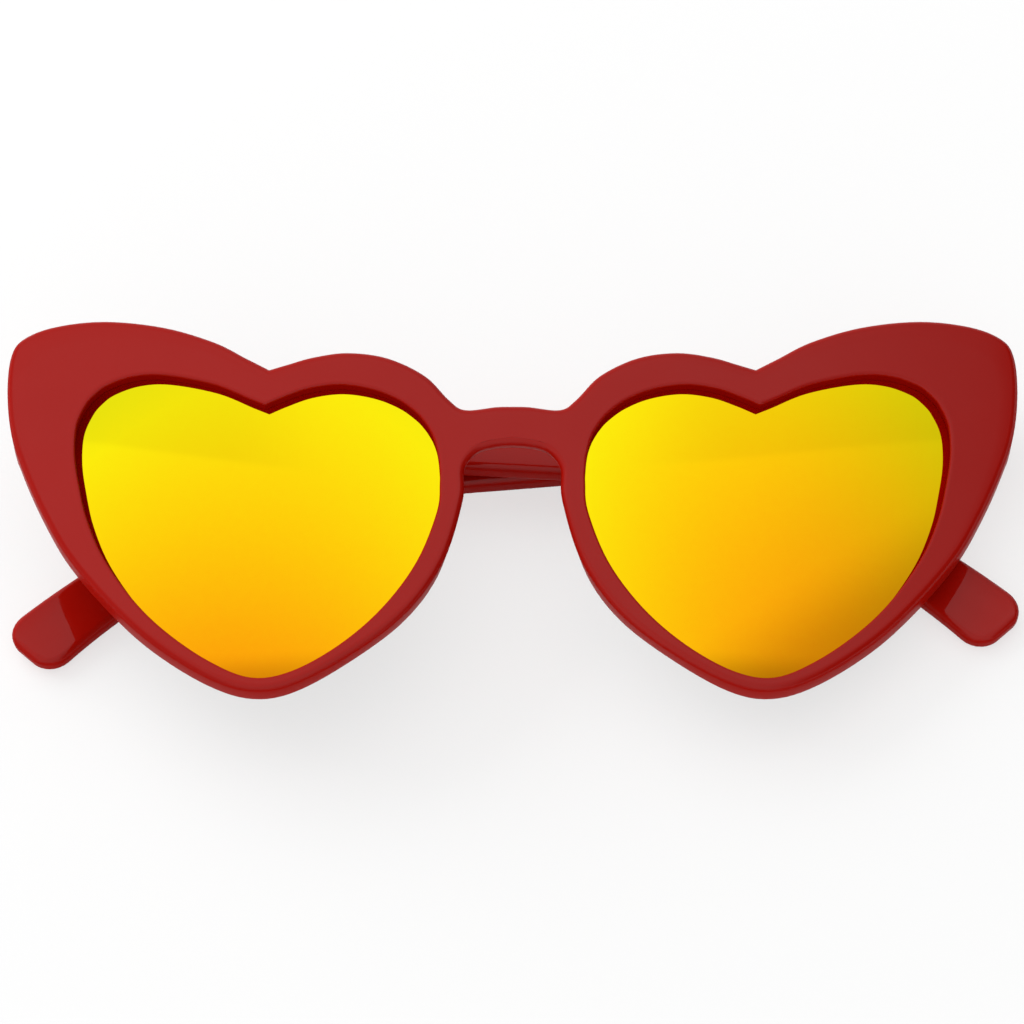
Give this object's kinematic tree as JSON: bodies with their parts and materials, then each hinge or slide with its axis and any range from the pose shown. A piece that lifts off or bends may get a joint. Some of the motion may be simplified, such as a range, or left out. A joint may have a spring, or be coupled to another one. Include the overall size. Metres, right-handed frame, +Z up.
{
  "type": "heart shaped sunglasses",
  "caption": "Moulded plastic sunglasses with heart shaped rims and mirrored lenses, lying lens side up on their folded hinged arms.",
  "frame": {"origin": "on the ground that the folded pair lies on, at the middle of its footprint", "axes": "+X along the face towards the lens that is on the right when seen from the front, +Y from the lower rims towards the brow, +Z up, out of the front of the lenses; the face lies 14 degrees off level because the pair rests on its folded arms"},
  "size_m": [0.1482, 0.0606, 0.03],
  "materials": {
    "frame": "polished red",
    "lens": "mirror coating from yellow-green at the top to orange at the bottom",
    "hinge": "stamped metal, lightly polished"
  },
  "bodies": {
    "front": {"front_frame": "frame", "lens_left": "lens", "lens_right": "lens", "hinge_front_left": "hinge", "hinge_front_right": "hinge", "hinge_screw_left": "hinge", "hinge_screw_right": "hinge"},
    "left_arm": {"temple_left": "frame", "hinge_temple_left": "hinge"},
    "right_arm": {"temple_right": "frame", "hinge_temple_right": "hinge"}
  },
  "joints": [
    {"name": "left_arm_fold", "type": "hinge", "parent": "front", "child": "left_arm", "pos_m": [-0.06602, 0.02277, 0.01599], "axis": [0.0152, 0.9743, 0.2248], "range_deg": [0, 92]},
    {"name": "right_arm_fold", "type": "hinge", "parent": "front", "child": "right_arm", "pos_m": [0.06568, 0.02277, 0.0071], "axis": [-0.0152, -0.9743, -0.2248], "range_deg": [0, 88]}
  ]
}
